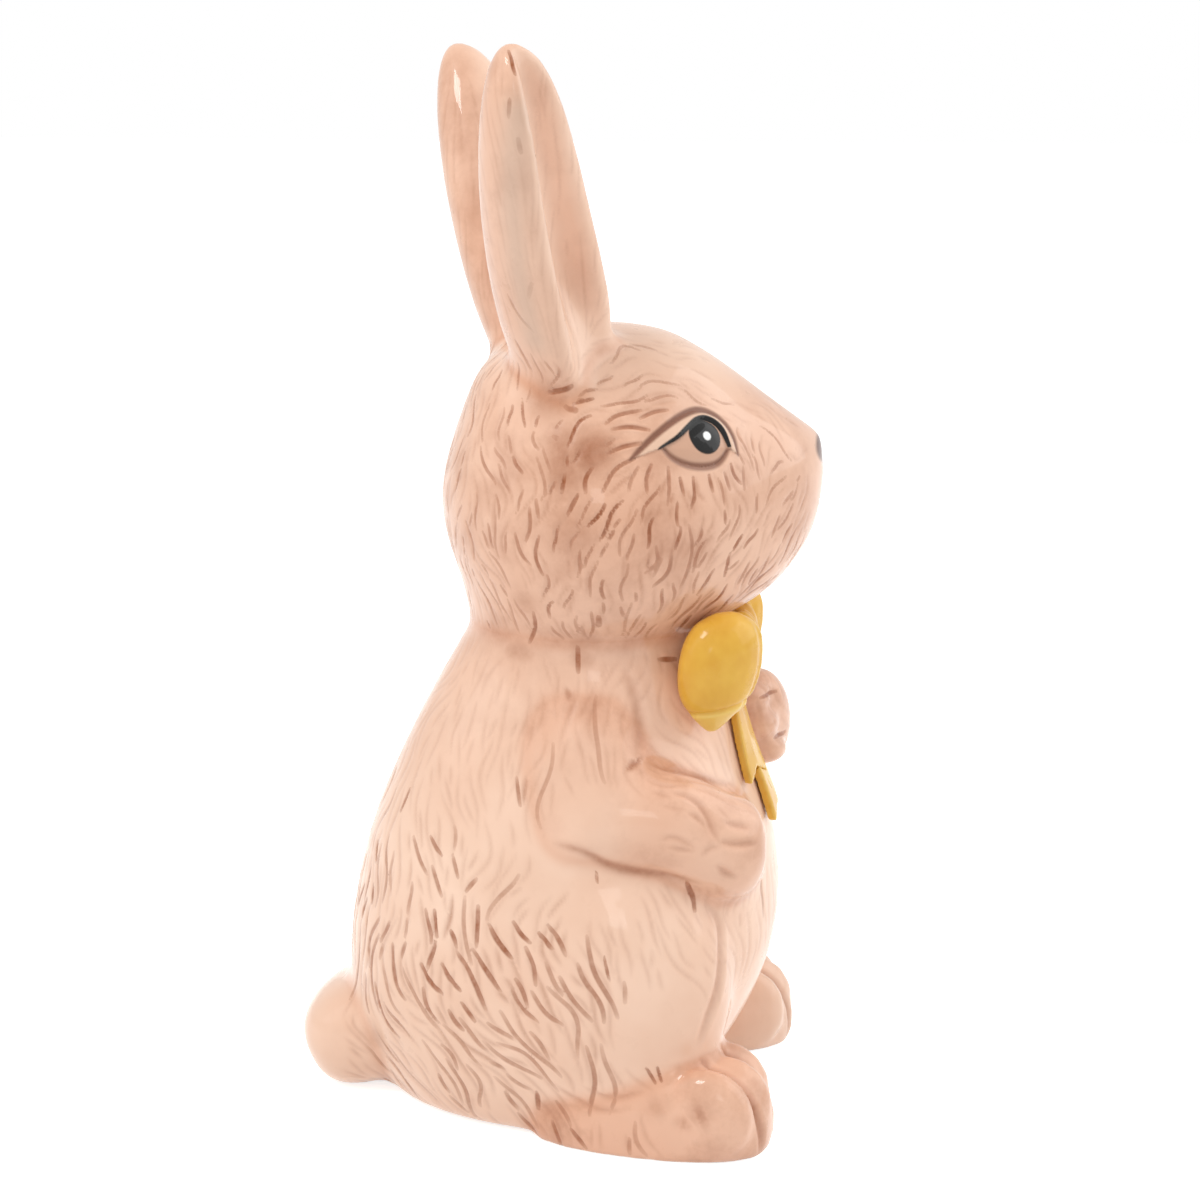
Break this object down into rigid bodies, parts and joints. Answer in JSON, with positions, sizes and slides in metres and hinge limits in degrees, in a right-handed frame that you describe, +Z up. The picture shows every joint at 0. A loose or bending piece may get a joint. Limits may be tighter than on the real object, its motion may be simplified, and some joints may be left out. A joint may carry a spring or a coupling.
{
  "type": "bunny figurine",
  "caption": "Sitting rabbit figurine of glazed hollow earthenware with upright cupped ears, folded arms, splayed feet, a round tail and a bow under the chin, to stand as an ornament.",
  "frame": {"origin": "middle of the overall box at floor level", "axes": "+Z up, the rabbit's body faces -Y, its left side is +X"},
  "size_m": [0.0968, 0.1252, 0.25],
  "materials": {
    "pink_glaze": "clear gloss glaze over pink-beige earthenware with brown wash in carved fur strokes",
    "yellow_glaze": "opaque gloss yellow glaze"
  },
  "bodies": {
    "root": {"body_shell": "pink_glaze", "head_shell": "pink_glaze", "right_ear": "pink_glaze", "left_ear": "pink_glaze", "right_arm": "pink_glaze", "left_arm": "pink_glaze", "right_foot": "pink_glaze", "left_foot": "pink_glaze", "tail": "pink_glaze", "bow_knot": "yellow_glaze", "bow_right_loop": "yellow_glaze", "bow_left_loop": "yellow_glaze", "bow_right_ribbon": "yellow_glaze", "bow_left_ribbon": "yellow_glaze"}
  },
  "joints": []
}
